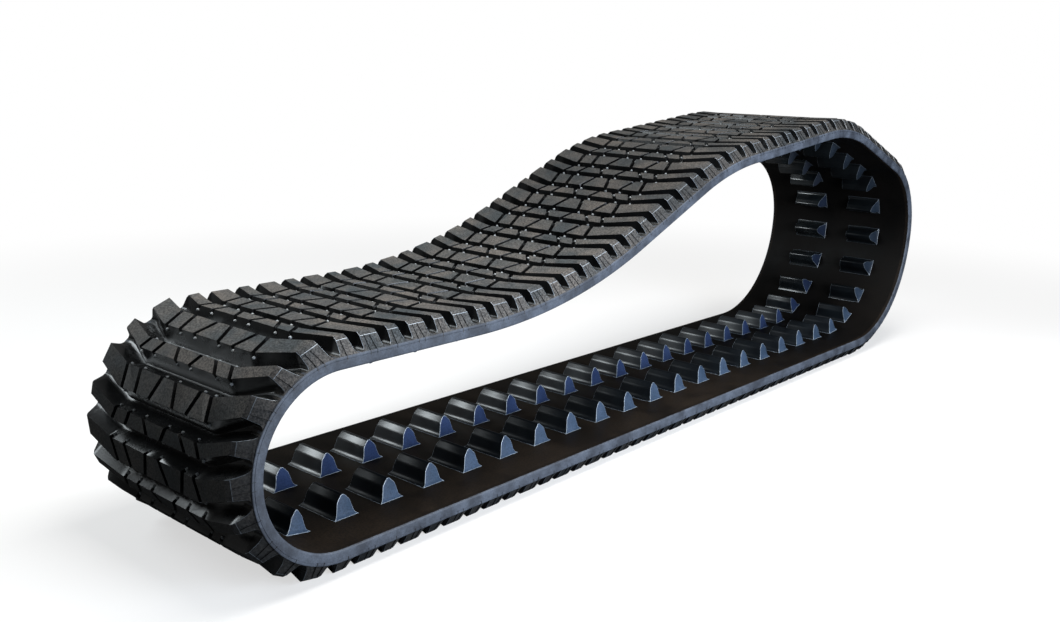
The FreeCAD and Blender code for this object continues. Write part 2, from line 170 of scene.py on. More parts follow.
bars = {
    # widths along the belt: at the foot and the face, mid-bar and at the shoulder's end
    "thick": {"foot": 0.0530, "face": 0.0400, "endFoot": 0.0385, "endFace": 0.0340,
              "slants": (-0.012, -0.012, 0.011, -0.018, 0.012, -0.012),
              "fins": ((0.36, 0.48), (0.70, 0.76))},
    "thin": {"foot": 0.0410, "face": 0.0228, "endFoot": 0.0300, "endFace": 0.0200,
             "slants": (0.010, 0.008, -0.015, 0.010, -0.020, -0.015),
             "fins": ((0.62, 0.66),)},
    "grooveFloor": 0.0038, "footRadius": 0.0065, "sink": 0.0006,
    "rakeStart": 0.128, "rakeEnd": 0.205, "rake": 0.0245, "rakeRounding": 0.008,
    "browEnd": 0.212, "browDrop": 0.0052, "browBand": (0.002, 0.010), "footEnd": 0.2266, "endInset": 0.001,
    "cornerRounding": 0.0075, "rimRounding": 0.0014,
    "slotPlaces": (0.124, 0.082, 0.027, -0.027, -0.082, -0.124),
    "slotWidth": 0.0096, "slotFloor": 0.0060, "slotDepth": 0.011,
    "pipRadius": 0.0030, "pipDepth": 0.0082,
    "finWidth": 0.0008, "finHeight": 0.0012, "finRun": 0.0068, "finSink": 0.001, "finProud": 0.0005,
    "stiffFrom": 0.012,  # a bar bends with the belt at its foot, and less and less up to this height
    # the face share also gives pips and rounded corners their pale painted highlight
    "faceDustAndHighlight": 1.0, "endDust": 0.7, "rimDust": 0.35, "wallDust": 0.02,
}


def grooveDistance(bar):
    foot = bars["thin" if bar % 2 else "thick"]["foot"]
    return bar * loop["pitch"] / 2 + (foot + bars["grooveFloor"]) / 2


def rampUp(past, rounding):
    # zero before the bend, one for one after it, rounded between
    if past < -rounding:
        return 0.0
    if past > rounding:
        return past
    return (past + rounding) ** 2 / (4 * rounding)


def rakeShare(across):
    # 0 in the middle of the belt, 1 where a shoulder has bent back all it will
    length = bars["rakeEnd"] - bars["rakeStart"]
    past = rampUp(abs(across) - bars["rakeStart"], bars["rakeRounding"])
    return (past - rampUp(abs(across) - bars["rakeEnd"], bars["rakeRounding"] / 2)) / length


def hexColour(text):
    channels = [int(text[i:i + 2], 16) / 255 for i in (1, 3, 5)]
    return [c / 12.92 if c <= 0.04045 else ((c + 0.055) / 1.055) ** 2.4 for c in channels] + [1.0]


def addNode(tree, kind, inputs={}, **settings):
    node = tree.nodes.new("ShaderNode" + kind)
    for name, value in settings.items():
        setattr(node, name, value)
    for socket, value in inputs.items():
        if isinstance(value, bpy.types.NodeSocket):
            tree.links.new(value, node.inputs[socket])
        else:
            node.inputs[socket].default_value = value
    return node


def newMaterial(name):
    material = bpy.data.materials.new(name)
    material.use_nodes = True
    material.node_tree.nodes.clear()
    return material, material.node_tree


def addOutput(tree, shader):
    addNode(tree, "OutputMaterial", {"Surface": shader.outputs[0]})


rubberSkin = {
    "ior": 1.52,
    "film": 0.25,  # a thin film of dust already takes the shine away, long before it changes the colour
    "cleanGrain": 0.04,
}


def makeRubber(name, look):
    # carbon-black rubber, press moulded: a dusty bloom over near black, grain in the gloss; the pale colour
    # it mixes in is real dust on some faces and painted light on others
    material, tree = newMaterial(name)
    place = addNode(tree, "TexCoord").outputs["Object"]
    patches = addNode(tree, "TexNoise", {"Vector": place, "Scale": 1 / look["patchSize"], "Detail": 5.0,
                                         "Roughness": 0.6})
    grain = addNode(tree, "TexNoise", {"Vector": place, "Scale": 1 / look["grainSize"], "Detail": 3.0,
                                       "Roughness": 0.7})
    patchShare = addNode(tree, "MapRange", {"Value": patches.outputs[0], "From Min": 0.36,
                                            "From Max": 0.64})
    under = addNode(tree, "Mix", {"Factor": patchShare.outputs[0], 6: hexColour(look["dark"]),
                                  7: hexColour(look["pale"])}, data_type="RGBA")
    dusty = addNode(tree, "Mix", {"Factor": patchShare.outputs[0], 6: hexColour(look["dust_and_light"]),
                                  7: hexColour(look["dust_and_light_pale"])}, data_type="RGBA")
    dust_and_light = addNode(tree, "Attribute", attribute_name="dust_and_light").outputs["Fac"]
    speckle = addNode(tree, "MapRange", {"Value": grain.outputs[0], "From Min": 0.40, "From Max": 0.62,
                                         "To Min": look["speckle"], "To Max": 1.1})
    dustAndLightShare = addNode(tree, "Math", {0: dust_and_light, 1: speckle.outputs[0]}, operation="MULTIPLY",
                        use_clamp=True)
    colour = addNode(tree, "Mix", {"Factor": dustAndLightShare.outputs[0], 6: under.outputs[2],
                                   7: dusty.outputs[2]}, data_type="RGBA")
    matt = addNode(tree, "MapRange", {"Value": dust_and_light, "From Max": rubberSkin["film"]})
    rough = addNode(tree, "MapRange", {"Value": matt.outputs[0], "To Min": look["gloss"],
                                       "To Max": look["dustGloss"]})
    unevenRough = addNode(tree, "Math", {0: patchShare.outputs[0], 1: look["glossSpread"],
                                         2: rough.outputs[0]}, operation="MULTIPLY_ADD")
    sandy = addNode(tree, "MapRange", {"Value": matt.outputs[0], "To Min": rubberSkin["cleanGrain"],
                                       "To Max": look["grainStrength"]})
    bump = addNode(tree, "Bump", {"Height": grain.outputs[0], "Strength": sandy.outputs[0],
                                  "Distance": look["grainDepth"]})
    shine = addNode(tree, "MapRange", {"Value": matt.outputs[0], "To Min": look["shine"],
                                       "To Max": look["dustShine"]})
    shader = addNode(tree, "BsdfPrincipled", {"Base Color": colour.outputs[2], "IOR": rubberSkin["ior"],
                                              "Specular IOR Level": shine.outputs[0],
                                              "Roughness": unevenRough.outputs[0],
                                              "Normal": bump.outputs[0]})
    addOutput(tree, shader)
    return material


# carbon-black tread rubber from a blasted mould: matt sandy faces, glossy groove walls
treadRubber = makeRubber("tread_rubber", {
    "dark": "#08090a", "pale": "#0e0f10", "dust_and_light": "#4b5154", "dust_and_light_pale": "#736e69", "speckle": 0.22,
    "gloss": 0.20, "dustGloss": 0.66, "glossSpread": 0.08, "shine": 0.40, "dustShine": 0.2,
    "patchSize": 0.09, "grainSize": 0.0032, "grainStrength": 0.6, "grainDepth": 0.0009})
# vent stubs painted pale grey-white: a painted highlight in place of their glints
pipHighlightRubber = makeRubber("vent_tip_painted_highlight", {
    "dark": "#2a2d30", "pale": "#3a3e42", "dust_and_light": "#989fa4", "dust_and_light_pale": "#b8bfc3", "speckle": 0.7,
    "gloss": 0.30, "dustGloss": 0.4, "glossSpread": 0.10, "shine": 0.5, "dustShine": 0.5,
    "patchSize": 0.02, "grainSize": 0.002, "grainStrength": 0.2, "grainDepth": 0.0004})
# rounded edges, corners and brows painted pale blue-grey: a painted highlight in place of the glints along
# them
edgeHighlightRubber = makeRubber("edge_painted_highlight_rubber", {
    "dark": "#1b2024", "pale": "#272d32", "dust_and_light": "#87939e", "dust_and_light_pale": "#a3aeb8", "speckle": 0.5,
    "gloss": 0.24, "dustGloss": 0.28, "glossSpread": 0.10, "shine": 1.0, "dustShine": 1.0,
    "patchSize": 0.03, "grainSize": 0.0025, "grainStrength": 0.3, "grainDepth": 0.0005})
# far row: harder lug rubber from a polished mould; the blue-grey of its ends is partly wax bloom and partly
# painted cool light, painted darker navy than the near row's as painted shade
lugRubber = makeRubber("lug_rubber", {
    "dark": "#0a0d0e", "pale": "#14191a", "dust_and_light": "#202d4b", "dust_and_light_pale": "#2d3b5a", "speckle": 0.7,
    "gloss": 0.20, "dustGloss": 0.8, "glossSpread": 0.06, "shine": 1.0, "dustShine": 0.08,
    "patchSize": 0.06, "grainSize": 0.003, "grainStrength": 0.15, "grainDepth": 0.0004})
# the near row: made dull in place of the shade on its flanks, and its ends painted paler lavender than the
# far row's as painted light
nearLugPaintedLightRubber = makeRubber("near_lug_painted_light_rubber", {
    "dark": "#08090a", "pale": "#0e1112", "dust_and_light": "#303f51", "dust_and_light_pale": "#404f63", "speckle": 0.7,
    "gloss": 0.34, "dustGloss": 0.5, "glossSpread": 0.08, "shine": 0.12, "dustShine": 0.12,
    "patchSize": 0.05, "grainSize": 0.003, "grainStrength": 0.2, "grainDepth": 0.0004})
# running side, smooth and brown-black where the wheels have never been; the brown is faded out towards the
# rear as painted shade
runningRubber = makeRubber("running_side_rubber", {
    "dark": "#080706", "pale": "#0d0a08", "dust_and_light": "#17120e", "dust_and_light_pale": "#2b231b", "speckle": 0.35,
    "gloss": 0.48, "dustGloss": 0.5, "glossSpread": 0.15, "shine": 0.10, "dustShine": 0.1,
    "patchSize": 0.11, "grainSize": 0.004, "grainStrength": 0.2, "grainDepth": 0.0005})
# base between the tread bars, glossy like the groove walls
baseRubber = makeRubber("tread_base_rubber", {
    "dark": "#0d0f10", "pale": "#15181a", "dust_and_light": "#33373a", "dust_and_light_pale": "#454a4e", "speckle": 0.5,
    "gloss": 0.28, "dustGloss": 0.5, "glossSpread": 0.10, "shine": 0.5, "dustShine": 0.4,
    "patchSize": 0.07, "grainSize": 0.003, "grainStrength": 0.04, "grainDepth": 0.0004})
# trimmed belt edge, blue-grey: partly bloom, partly a painted cool sheen of the light off the side
edgeRubber = makeRubber("edge_rubber", {
    "dark": "#262a31", "pale": "#3c424c", "dust_and_light": "#383d46", "dust_and_light_pale": "#5c636e", "speckle": 0.35,
    "gloss": 0.36, "dustGloss": 0.55, "glossSpread": 0.12, "shine": 0.5, "dustShine": 0.4,
    "patchSize": 0.035, "grainSize": 0.003, "grainStrength": 0.3, "grainDepth": 0.0006})


def makeFabric():
    # rubbered nylon ply, woven square at 1.2 mm, so its threads show as a fine check
    material, tree = newMaterial("ply_fabric")
    place = addNode(tree, "TexCoord").outputs["Object"]
    turned = addNode(tree, "Mapping", {"Vector": place, "Rotation": (0, 0, math.radians(45))})
    threads = addNode(tree, "TexWave", {"Vector": turned.outputs[0], "Scale": 1 / 0.0012 / math.tau})
    colour = addNode(tree, "Mix", {"Factor": threads.outputs["Fac"], 6: hexColour("#2a241c"),
                                   7: hexColour("#4a4134")}, data_type="RGBA")
    bump = addNode(tree, "Bump", {"Height": threads.outputs["Fac"], "Distance": 0.0002, "Strength": 0.5})
    addOutput(tree, addNode(tree, "BsdfPrincipled", {"Base Color": colour.outputs[2], "Roughness": 0.8,
                                                     "Normal": bump.outputs[0]}))
    return material


def makeCordSteel():
    # brass-coated steel cord, laid in strands at 12 mm
    material, tree = newMaterial("cord_steel")
    place = addNode(tree, "TexCoord").outputs["Object"]
    lay = addNode(tree, "TexNoise", {"Vector": place, "Scale": 1 / 0.012})
    colour = addNode(tree, "Mix", {"Factor": lay.outputs[0], 6: hexColour("#8a7a58"),
                                   7: hexColour("#b5a883")}, data_type="RGBA")
    rough = addNode(tree, "MapRange", {"Value": lay.outputs[0], "To Min": 0.3, "To Max": 0.5})
    addOutput(tree, addNode(tree, "BsdfPrincipled", {"Base Color": colour.outputs[2], "Metallic": 1.0,
                                                     "Roughness": rough.outputs[0]}))
    return material


plyFabric = makeFabric()
cordSteel = makeCordSteel()
print("materials made")


def wrapRound(verts, distance, stiffTread=False):
    # bends flat stock round the loop; a tread block bends at its foot and keeps its face flat
    flat = placeAt(distance)
    for vert in verts:
        bent = placeAt(distance + vert.co.x) @ Vector((0, vert.co.y, vert.co.z))
        if stiffTread:
            share = (vert.co.z - treadFoot + bars["stiffFrom"]) / bars["stiffFrom"]
            share = min(1.0, max(0.0, share))
            bent = (flat @ vert.co).lerp(bent, share)
        vert.co = bent


def finishPiece(bm, name, materials, slot, sharpAngle=35):
    bmesh.ops.recalc_face_normals(bm, faces=bm.faces)
    mesh = bpy.data.meshes.new(name)
    bm.to_mesh(mesh)
    bm.free()
    for material in materials:
        mesh.materials.append(material)
    mesh.shade_smooth()
    mesh.set_sharp_from_angle(angle=math.radians(sharpAngle))
    piece = bpy.data.objects.new(name, mesh)
    bpy.context.scene.collection.objects.link(piece)
    return piece


belt = {  # widths from the middle, thicknesses, rounding, and where dust and painted light and shade lie
    "coverHalf": halfWidth - 0.012, "innerCover": 0.0064, "outerCover": 0.0058,
    "plyHalf": halfWidth - 0.013, "plyThickness": 0.0015, "plyGap": 0.0003,
    # the least share goes on faces turned from the light above, painted light along with the dust; the
    # running side's brown fades out towards the rear as painted shade
    "leastDustAndLight": 0.28, "dirtAndShadeTo": 0.1, "dirtAndShadeFade": 0.6, "edgeDust": 0.6, "edgeDustFrom": 0.2,
    "crownShade": 0.4, "crownShadeFrom": 0.44, "crownShadeOver": 0.10,  # the crown, higher up, is painted darker than the dip: painted shade
    "cordRadius": 0.00225, "cords": 20, "cordMargin": 0.012,
    "footRounding": 0.0014, "edgeRounding": 0.0032, "edgeLine": 0.0047, "edgeLineDepth": 0.0006,
    "step": 0.0127, "bendReach": 0.05,
    "openRoom": 0.0004, "hiddenRoom": 0.002,  # left at each end beside the open groove
}
# each length of belt runs from the middle of one stretch to the middle of the next: its first and last bar,
# the body it leaves, the body it reaches, and the groove where it bends between them
lengths = {
    "heel": (0, 24, "ground_run", "rear_bend", 18),
    "shoulder": (24, 36, "rear_bend", "crown_rear", 30),
    "crown": (36, 42, "crown_rear", None, None),
    "hump": (42, 48, "crown_front", None, None),
    "knee": (48, 60, "crown_front", "dip", 54),
    "dip": (60, 74, "dip", "front_bend", 67),
    "toe": (74, 102, "front_bend", "ground_run", 81),
}
openGroove = 42


def cutAt(bar):
    # the belt is cut straight across mid-stretch, and along the groove where the loop is open
    if bar == openGroove:
        return grooveDistance(bar), True
    return bar * loop["pitch"] / 2, False


def dustAndPaintedLight(distance, outward):
    # dust lies on what faces up and is brushed off what faces the ground; its steep rise with upward facing
    # also paints the light from above onto upturned faces, and the crown is painted darker than the dip as
    # painted shade
    place = placeAt(distance)
    upward = place.to_3x3().col[2].z * (-1 if outward else 1)
    past = (place.translation.z - belt["crownShadeFrom"]) / belt["crownShadeOver"]
    left = 1 - belt["crownShade"] * min(1.0, max(0.0, past))
    return left * (belt["leastDustAndLight"] + (1 - belt["leastDustAndLight"]) * max(0.0, upward) ** 3)


def sweepFlat(bm, sections, first, last, room, lastSlot=0):
    # closed sections (y, z) drawn out along the cords from one cut to the next, then bent round
    start, startRaked = cutAt(first)
    end, endRaked = cutAt(last)
    start += room * startRaked  # the two ends at the open groove shift a little as the loop flexes
    end -= room * endRaked
    count = max(2, round((end - start) / belt["step"]))
    faces = [bm.faces.new([bm.verts.new((start, y, z)) for y, z in section]) for section in sections]
    grown = bmesh.ops.extrude_face_region(bm, geom=faces)["geom"]
    far = [item for item in grown if isinstance(item, bmesh.types.BMVert)]
    bmesh.ops.translate(bm, verts=far, vec=(end - start, 0, 0))
    along = [edge for edge in bm.edges if edge.verts[0].co.x != edge.verts[1].co.x]
    bmesh.ops.subdivide_edges(bm, edges=along, cuts=count - 1, use_grid_fill=True)
    ends = [face for face in bm.faces if len(face.verts) > 4]
    bmesh.ops.triangulate(bm, faces=ends, ngon_method="BEAUTY")  # so that a raked end stays true
    for vert in bm.verts:
        share = (vert.co.x - start) / (end - start)
        raked = (1 - share) * startRaked + share * endRaked
        vert.co.x -= raked * bars["rake"] * rakeShare(vert.co.y)
    for face in bm.faces:  # the running side takes a piece's last material
        if min(vert.co.z for vert in face.verts) > runningSide - hairline:
            face.material_index = lastSlot
    dust_and_light = bm.faces.layers.float.new("dust_and_light")
    for face in bm.faces:  # dusty where grooves open at the belt's edges; on the running side brown dust, faded out towards the rear bend and weak where it faces down, as painted shade inside the loop
        middle = face.calc_center_median()
        if middle.z > runningSide - hairline and abs(middle.y) < belt["coverHalf"]:
            dirtAndShade = 1 - (placeAt(middle.x).translation.x - belt["dirtAndShadeTo"]) / belt["dirtAndShadeFade"]
            face[dust_and_light] = dustAndPaintedLight(middle.x, False) * min(1.0, max(0.0, dirtAndShade))
        else:
            face[dust_and_light] = belt["edgeDust"] if abs(middle.y) > belt["edgeDustFrom"] else 0.0
    wrapRound(bm.verts, 0.0)


def roundedCorner(y, z, radius, startAngle, points=4):
    # arc about a centre, for a section's corner
    return [(y + radius * math.cos(startAngle + math.pi / 2 * i / points),
             z + radius * math.sin(startAngle + math.pi / 2 * i / points)) for i in range(points + 1)]


def edgeSection(side):
    # belt edge: rounded corners and the mould's parting line as a shallow groove
    inner = belt["coverHalf"]
    foot = belt["footRounding"]
    radius = belt["edgeRounding"]
    line = treadFoot + belt["edgeLine"]
    depth = belt["edgeLineDepth"]
    outline = [(inner, treadFoot)]
    outline += roundedCorner(halfWidth - foot, treadFoot + foot, foot, -math.pi / 2)
    outline += [(halfWidth, line - depth), (halfWidth - depth, line), (halfWidth, line + depth)]
    outline += roundedCorner(halfWidth - radius, runningSide - radius, radius, 0.0)
    outline += [(inner, runningSide)]
    return [(side * y, z) for y, z in outline]


def slab(half, low, high, count=8):
    # a sheet's section, divided across so that its raked ends follow the groove
    ys = [half * (2 * i / count - 1) for i in range(count + 1)]
    return [(y, low) for y in ys] + [(y, high) for y in reversed(ys)]


def hang(piece, before, after, groove):
    # a length of belt bends at a groove between two bodies, or rides on one beside the open groove
    if after is None:
        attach(piece, before)
        return
    hinge = placeAt(grooveDistance(groove))
    start = hinge @ Vector((-belt["bendReach"], 0, cordLine))
    end = hinge @ Vector((belt["bendReach"], 0, cordLine))
    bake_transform(piece, before, after, start=start, end=end)


plyTop = cordLine - belt["cordRadius"] - belt["plyGap"]
plyStep = belt["plyThickness"] + belt["plyGap"]
layers = {
    "inner_cover": (slab(belt["coverHalf"], runningSide - belt["innerCover"], runningSide),
                    [runningRubber], "running_side_rubber"),
    "outer_cover": (slab(belt["coverHalf"], treadFoot, treadFoot + belt["outerCover"]),
                    [baseRubber], "tread_base_rubber"),
    "inner_bias_ply": (slab(belt["plyHalf"], plyTop - belt["plyThickness"], plyTop),
                       [plyFabric], "ply_fabric"),
    "outer_bias_ply": (slab(belt["plyHalf"], plyTop - plyStep - belt["plyThickness"], plyTop - plyStep),
                       [plyFabric], "ply_fabric"),
    "edge_strip_near": (edgeSection(-1), [edgeRubber, runningRubber], "edge_rubber"),
    "edge_strip_far": (edgeSection(1), [edgeRubber, runningRubber], "edge_rubber"),
}
endless = ("inner_bias_ply", "outer_bias_ply")
for length, (first, last, before, after, groove) in lengths.items():
    for layer, (section, materials, slot) in layers.items():
        bm = bmesh.new()
        room = belt["hiddenRoom"] if layer in endless else belt["openRoom"]
        sweepFlat(bm, [section], first, last, room, len(materials) - 1)
        piece = finishPiece(bm, layer + "_at_" + length, materials, slot)
        if layer in endless:
            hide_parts(layer)
        else:
            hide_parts(layer + "_" + before)
        hang(piece, before, after, groove)
    bm = bmesh.new()
    reach = belt["plyHalf"] - belt["cordMargin"]
    rings = []
    for index in range(belt["cords"]):
        across = reach * (2 * index / (belt["cords"] - 1) - 1)
        rings.append([(across + belt["cordRadius"] * math.cos(math.tau * i / 8),
                       cordLine + belt["cordRadius"] * math.sin(math.tau * i / 8)) for i in range(8)])
    sweepFlat(bm, rings, first, last, belt["hiddenRoom"])
    piece = finishPiece(bm, "tension_cords_at_" + length, [cordSteel], "cord_steel")
    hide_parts("tension_cords")
    hang(piece, before, after, groove)
print("belt made")


def barOutline(shape, height):
    # a bar's plan at a height over its foot, out past both belt edges
    bend = (-0.008, -0.004, 0.0, 0.004, 0.008)
    half = [0.0] + [bars["rakeStart"] + step for step in bend]
    half += [bars["rakeEnd"] + step / 2 for step in bend] + [halfWidth + 0.02]
    places = [-y for y in reversed(half)] + half[1:]
    up = height / treadFoot
    fillet = 0.0
    if height < bars["footRadius"]:
        below = bars["footRadius"] - height
        fillet = bars["footRadius"] - math.sqrt(bars["footRadius"] ** 2 - below ** 2)
    outline = []
    for edge, order in ((1, places), (-1, reversed(places))):
        for y in order:
            share = rakeShare(y)
            middle = shape["foot"] + (shape["face"] - shape["foot"]) * up
            end = shape["endFoot"] + (shape["endFace"] - shape["endFoot"]) * up
            width = middle + (end - middle) * share
            outline.append((edge * (width / 2 + fillet) - bars["rake"] * share, y))
    return outline


def cutOff(bm, place, normal):
    # takes away what lies beyond a plane and closes the cut
    geometry = bm.verts[:] + bm.edges[:] + bm.faces[:]
    cut = bmesh.ops.bisect_plane(bm, geom=geometry, plane_co=place, plane_no=normal, clear_outer=True)
    edges = [item for item in cut["geom_cut"] if isinstance(item, bmesh.types.BMEdge)]
    bmesh.ops.holes_fill(bm, edges=edges)


def drawUp(bm, face):
    # extrudes a face, dropping the copy it would leave inside, and returns the new one
    inside = all(len(edge.link_faces) > 1 for edge in face.edges)
    grown = bmesh.ops.extrude_face_region(bm, geom=[face])["geom"]
    if inside:
        bmesh.ops.delete(bm, geom=[face], context="FACES_ONLY")
    return [item for item in grown if isinstance(item, bmesh.types.BMFace)][0]


def addObject(name, bm):
    mesh = bpy.data.meshes.new(name)
    bm.to_mesh(mesh)
    bm.free()
    made = bpy.data.objects.new(name, mesh)
    bpy.context.scene.collection.objects.link(made)
    return made


def slotCutter(shape):
    # slanted slots between the blocks of a bar, open at both grooves, narrower at their floors
    bm = bmesh.new()
    for across, slant in zip(bars["slotPlaces"], shape["slants"]):
        made = bmesh.ops.create_cube(bm, size=1.0)["verts"]
        bmesh.ops.scale(bm, verts=made, vec=(1.6 * shape["foot"], 1, 2 * bars["slotDepth"]))
        for vert in made:
            wide = bars["slotFloor"] if vert.co.z > 0 else 2 * bars["slotWidth"] - bars["slotFloor"]
            vert.co.y = vert.co.y * wide + vert.co.x * slant / shape["face"]
        bmesh.ops.translate(bm, verts=made, vec=(0, across, 0))
    return addObject("slot_cutter", bm)


def addPips(bm, shape):
    # round stubs left by the mould's vents, at both mouths of every slot
    up = 1 - bars["pipDepth"] / treadFoot
    half = (shape["foot"] + (shape["face"] - shape["foot"]) * up) / 2
    for across, slant in zip(bars["slotPlaces"], shape["slants"]):
        for side in (-1, 1):
            place = (side * half, across + side * half * slant / shape["face"], bars["pipDepth"])
            made = bmesh.ops.create_icosphere(bm, subdivisions=1, radius=bars["pipRadius"],
                                              matrix=Matrix.Translation(place))["verts"]
            # slot 1 is the pale vent-tip colour, a painted highlight
            for face in {face for vert in made for face in vert.link_faces}:
                face.material_index = 1


def addFins(bm, shape):
    # thin vent fins down a shoulder's end face and on over the parting line
    out = bars["finHeight"]
    sink = bars["finSink"]
    proud = bars["finProud"]
    runEnd = treadFoot + bars["finRun"]
    path = [(bars["browEnd"] - sink, bars["browDrop"] + sink), (bars["footEnd"] - sink, treadFoot + sink),
            (halfWidth - 2 * sink, runEnd), (halfWidth + proud, runEnd),
            (halfWidth + proud, treadFoot + 3 * proud),
            (bars["footEnd"] + 1.2 * out, treadFoot - 0.5 * out),
            (bars["browEnd"] + out, bars["browDrop"] - 0.3 * out)]
    for side in (-1, 1):
        for atFoot, atBrow in shape["fins"]:
            face = bm.faces.new([bm.verts.new((0, side * y, z)) for y, z in path])
            grown = bmesh.ops.extrude_face_region(bm, geom=[face])["geom"]
            far = [item for item in grown if isinstance(item, bmesh.types.BMVert)]
            bmesh.ops.translate(bm, verts=far, vec=(bars["finWidth"], 0, 0))
            for vert in list(face.verts) + far:
                up = min(1.0, max(0.0, 1 - vert.co.z / treadFoot))
                width = shape["endFoot"] + (shape["endFace"] - shape["endFoot"]) * up
                share = atFoot + (atBrow - atFoot) * up
                vert.co.x += (share - 0.5) * width - bars["rake"]


def barDustAndHighlight(face):
    # matt sandy tread faces and shoulder ends, glossy walls and slots; pips and rounded corners take the
    # full share of their pale painted highlight
    middle = face.calc_center_median()
    if middle.z < hairline or face.material_index:
        return bars["faceDustAndHighlight"]
    if abs(middle.y) > bars["rakeEnd"] and abs(face.normal.x) < 0.5:
        return bars["endDust"]
    if middle.z < bars["rimRounding"]:
        return bars["rimDust"]
    return bars["wallDust"]


def isCorner(edge):
    # between a groove wall and a shoulder's end or brow
    low, high = sorted((vert.co for vert in edge.verts), key=lambda place: place.z)
    if min(abs(low.y), abs(high.y)) < bars["rakeEnd"] - 0.001:
        return False
    if high.z - low.z < 0.3 * (high - low).length:
        return False
    across = sorted(abs(face.normal.x) for face in edge.link_faces)
    return across[0] < 0.3 and across[1] > 0.7


def isBrow(edge):
    # where the brow turns down into a shoulder's end
    low, high = bars["browBand"]
    return (all(abs(face.normal.x) < 0.3 for face in edge.link_faces)
            and all(low < vert.co.z < high for vert in edge.verts))


def isRim(edge):
    # round the tread face, a brow or a slot
    return (len(edge.link_faces) == 2 and edge.calc_face_angle_signed() > math.radians(40)
            and max(vert.co.z for vert in edge.verts) < bars["slotDepth"] + 0.0005)


def roundOff(bm, edges, radius, segments, slot=-1):
    bmesh.ops.bevel(bm, geom=edges, offset=radius, affect="EDGES", segments=segments,
                    profile=0.5, material=slot, clamp_overlap=True)


def paintDustAndLight(bm, amount):
    layer = bm.faces.layers.float.new("dust_and_light")
    for face in bm.faces:
        face[layer] = amount(face)


def makeBar(shape):
    # drawn up from its foot in steps, cut to its shoulders, rounded, slotted, then given pips and fins
    bm = bmesh.new()
    steps = [bars["footRadius"] * share for share in (0.0, 0.05, 0.15, 0.32, 0.6, 1.0)] + [treadFoot]
    start = [bm.verts.new((x, y, treadFoot + bars["sink"])) for x, y in barOutline(shape, 0.0)]
    face = bm.faces.new(start)
    for height in steps:
        face = drawUp(bm, face)
        for vert, (x, y) in zip(face.verts, barOutline(shape, height)):
            vert.co = (x, y, treadFoot - height)
    for side in (-1, 1):
        slope = Vector((0, side * (treadFoot - bars["browDrop"]), bars["browEnd"] - bars["footEnd"]))
        brow = Vector((0, side * bars["browDrop"], bars["rakeEnd"] - bars["browEnd"]))
        cutOff(bm, (0, side * bars["footEnd"], treadFoot), slope.normalized())
        cutOff(bm, (0, side * bars["rakeEnd"], 0), brow.normalized())
        cutOff(bm, (0, side * (halfWidth - bars["endInset"]), 0), (0, side, 0))
    bmesh.ops.recalc_face_normals(bm, faces=bm.faces)
    # rounded corners and brows take slot 2, the pale painted-highlight rubber
    roundOff(bm, [edge for edge in bm.edges if isCorner(edge) or isBrow(edge)],
             bars["cornerRounding"], 3, 2)
    stock = addObject("bar_stock", bm)
    cutter = slotCutter(shape)
    slots = stock.modifiers.new("slots", "BOOLEAN")
    slots.object = cutter
    slots.operation = "DIFFERENCE"
    slots.solver = "EXACT"
    bpy.context.view_layer.update()
    mesh = bpy.data.meshes.new_from_object(stock.evaluated_get(bpy.context.evaluated_depsgraph_get()))
    bpy.data.objects.remove(stock)
    bpy.data.objects.remove(cutter)
    bm = bmesh.new()
    bm.from_mesh(mesh)
    bmesh.ops.remove_doubles(bm, verts=bm.verts, dist=0.00002)
    roundOff(bm, [edge for edge in bm.edges if isRim(edge)], bars["rimRounding"], 2)
    bmesh.ops.recalc_face_normals(bm, faces=bm.faces)
    addPips(bm, shape)
    addFins(bm, shape)
    bmesh.ops.recalc_face_normals(bm, faces=bm.faces)
    paintDustAndLight(bm, barDustAndHighlight)
    mesh.clear_geometry()
    bm.to_mesh(mesh)
    bm.free()
    return mesh


def copyRound(master, stations, across, stiffTread):
    # copies of a bar or lug at distances along the cords, dusted and painted lighter or darker by how each
    # one faces
    bm = bmesh.new()
    for distance in stations:
        seen, seenFaces = len(bm.verts), len(bm.faces)
        bm.from_mesh(master)
        bm.verts.ensure_lookup_table()
        made = bm.verts[seen:]
        wrapRound(made, distance, stiffTread)
        bm.faces.ensure_lookup_table()
        layer = bm.faces.layers.float["dust_and_light"]
        share = dustAndPaintedLight(distance, stiffTread)
        for face in bm.faces[seenFaces:]:
            face[layer] *= share
    bmesh.ops.translate(bm, verts=bm.verts, vec=(0, across, 0))
    for vert in bm.verts:  # the ground presses flat what would dip into it
        vert.co.z = max(0.0, vert.co.z)
    return bm


barMeshes = {"thick": makeBar(bars["thick"]), "thin": makeBar(bars["thin"])}
print("bars shaped", [len(mesh.polygons) for mesh in barMeshes.values()])
for stretch, (first, last) in stretches.items():
    for odd, kind in enumerate(("thick", "thin")):
        stations = [bar * loop["pitch"] / 2 for bar in range(first + 1, last + 1) if bar % 2 == odd]
        bm = copyRound(barMeshes[kind], stations, 0.0, True)
        piece = finishPiece(bm, kind + "_bars_moulded_" + stretch, [treadRubber, pipHighlightRubber, edgeHighlightRubber],
                            "tread_rubber")
        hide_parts(kind + "_bars_" + stretch)
        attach(piece, stretch)
print("tread bars laid")

